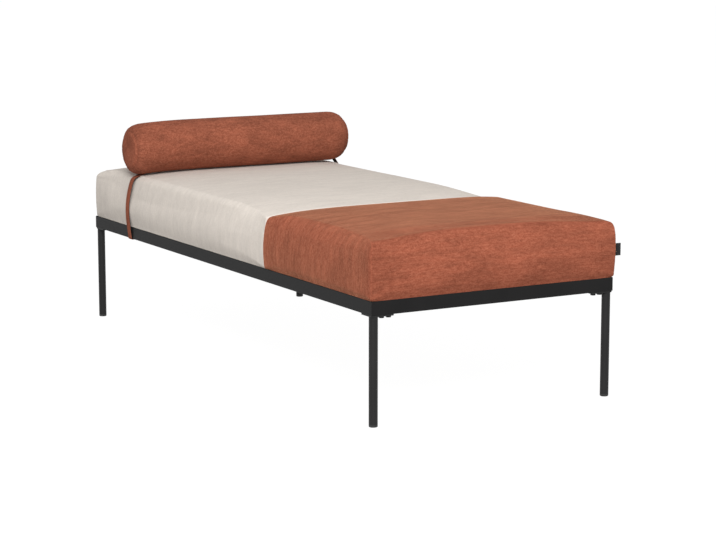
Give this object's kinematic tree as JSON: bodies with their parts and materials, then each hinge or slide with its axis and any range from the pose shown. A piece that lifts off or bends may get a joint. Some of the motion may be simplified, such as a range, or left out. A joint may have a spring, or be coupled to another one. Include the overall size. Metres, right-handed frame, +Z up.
{
  "type": "chaise longue",
  "caption": "Chaise longue: upholstered seat cushions in contrasting fabrics on a low steel frame with round legs, and a bolster that slides along the seat on a strap.",
  "frame": {"origin": "on the floor, under the middle of the steel frame", "axes": "+X along the length towards the foot end (the terracotta cushion), +Y across the width towards the side with the tab, +Z up"},
  "size_m": [1.9159, 0.847, 0.7],
  "materials": {
    "frame_black": "satin",
    "bolt_black": "satin",
    "glide_plastic": "matte",
    "zinc_steel": "satin",
    "plywood": "matte",
    "foam": "matte",
    "wadding": "matte",
    "beige_fabric": "matte",
    "terracotta_fabric": "matte",
    "black_webbing": "matte"
  },
  "bodies": {
    "seat": {"near_side_rail": "frame_black", "far_side_rail": "frame_black", "head_end_rail": "frame_black", "foot_end_rail": "frame_black", "head_cross_bar": "frame_black", "middle_cross_bar": "frame_black", "seam_cross_bar": "frame_black", "foot_cross_bar": "frame_black", "head_near_leg": "frame_black", "head_far_leg": "frame_black", "foot_near_leg": "frame_black", "foot_far_leg": "frame_black", "head_near_leg_plate": "frame_black", "head_far_leg_plate": "frame_black", "foot_near_leg_plate": "frame_black", "foot_far_leg_plate": "frame_black", "head_near_glide": "glide_plastic", "head_far_glide": "glide_plastic", "foot_near_glide": "glide_plastic", "foot_far_glide": "glide_plastic", "leg_bolts": "bolt_black", "threaded_inserts": "zinc_steel", "board_screws": "zinc_steel", "head_base_board": "plywood", "head_foam": "foam", "head_wadding": "wadding", "head_cover": "beige_fabric", "foot_base_board": "plywood", "foot_foam": "foam", "foot_wadding": "wadding", "foot_cover": "terracotta_fabric", "side_tab": "black_webbing"},
    "bolster": {"bolster_foam": "foam", "bolster_sleeve": "terracotta_fabric", "bolster_near_end": "terracotta_fabric", "bolster_far_end": "terracotta_fabric", "near_strap": "terracotta_fabric", "far_strap": "terracotta_fabric", "near_strap_backing": "black_webbing", "far_strap_backing": "black_webbing", "under_band": "black_webbing"}
  },
  "joints": [
    {"name": "bolster_slide", "type": "slide", "parent": "seat", "child": "bolster", "axis": [1, 0, 0], "range_m": [-0.2, 1.5]}
  ]
}
